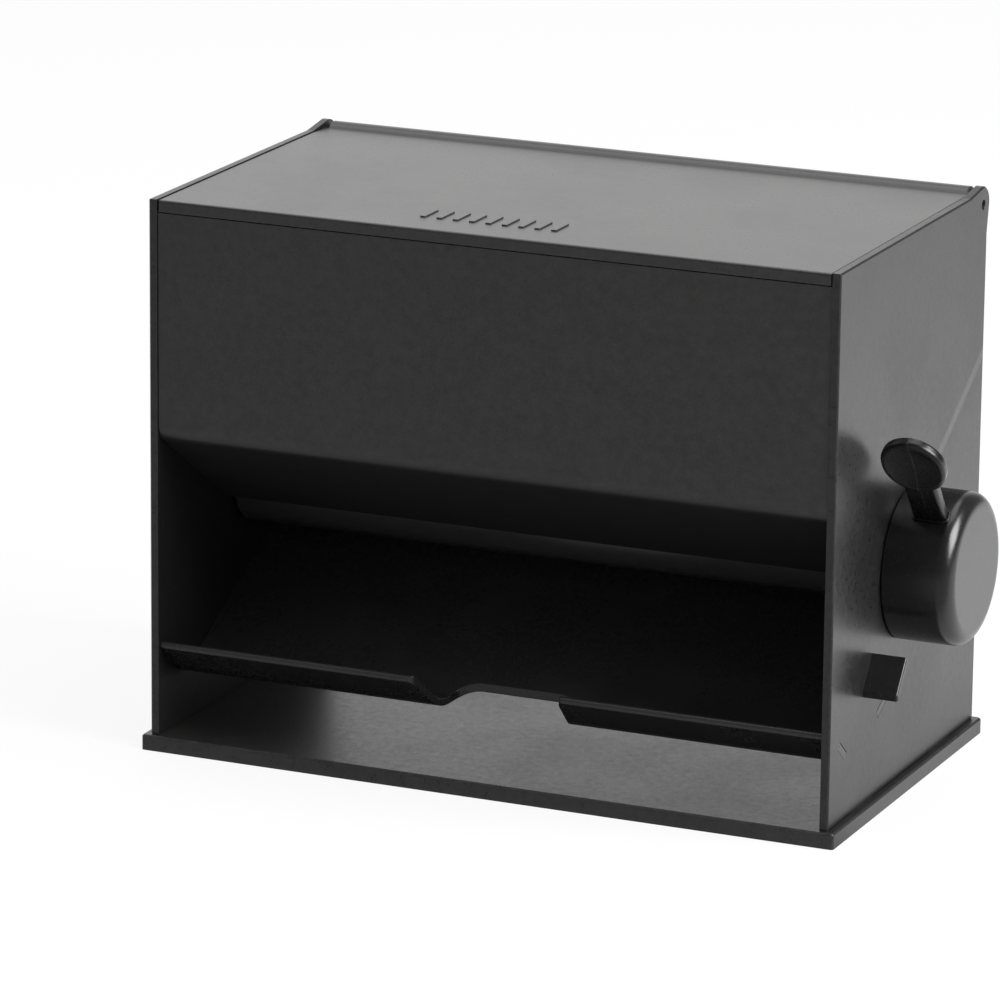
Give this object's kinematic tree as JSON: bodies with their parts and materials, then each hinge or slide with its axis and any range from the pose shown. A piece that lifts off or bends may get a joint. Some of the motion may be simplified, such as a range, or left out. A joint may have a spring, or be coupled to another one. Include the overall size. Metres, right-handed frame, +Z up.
{
  "type": "straw dispenser with lever",
  "caption": "Countertop dispenser: loose straws under a hinged lid, a grooved drum turned by a side lever drops a straw into the front tray.",
  "frame": {"origin": "centre of the base plate's underside, which stands on the counter", "axes": "+Z up, +X to the right where the lever and knob are, -Y to the front where the straw comes out"},
  "size_m": [0.2332, 0.1216, 0.1649],
  "materials": {
    "cabinet": "satin black, fine vertical grain",
    "trim": "gloss black",
    "knob": "satin black",
    "drum": "satin black",
    "bearing": "smooth acetal",
    "steel": "ground steel",
    "rubber": "matt"
  },
  "bodies": {
    "cabinet": {"base_plate": "cabinet", "left_side_panel": "cabinet", "right_side_panel": "cabinet", "back_panel": "cabinet", "front_panel": "cabinet", "rear_slope": "cabinet", "straw_tray": "cabinet", "lever_stop": "trim", "left_bush": "bearing", "right_bush": "bearing", "spring_post": "steel", "return_spring": "steel", "rubber_feet": "rubber", "thrust_washer": "bearing", "lid_hinge_pins": "steel"},
    "drum": {"feed_drum": "drum", "drum_axle": "steel", "drum_pin": "steel", "knob_hub": "drum", "hub_screw": "steel", "knob_cap": "knob", "lever": "trim", "lever_collar": "trim"},
    "lid": {"lid": "cabinet"}
  },
  "joints": [
    {"name": "lever_swing", "type": "hinge", "parent": "cabinet", "child": "drum", "pos_m": [0, -0.00075, 0.0677], "axis": [1, 0, 0], "range_deg": [0, 87], "stiffness_Nm_per_rad": 0.052, "springref_deg": -20.05, "deforming": ["return_spring"]},
    {"name": "lid_swing", "type": "hinge", "parent": "cabinet", "child": "lid", "pos_m": [0, 0.05515, 0.1596], "axis": [-1, 0, 0], "range_deg": [0, 178]}
  ]
}
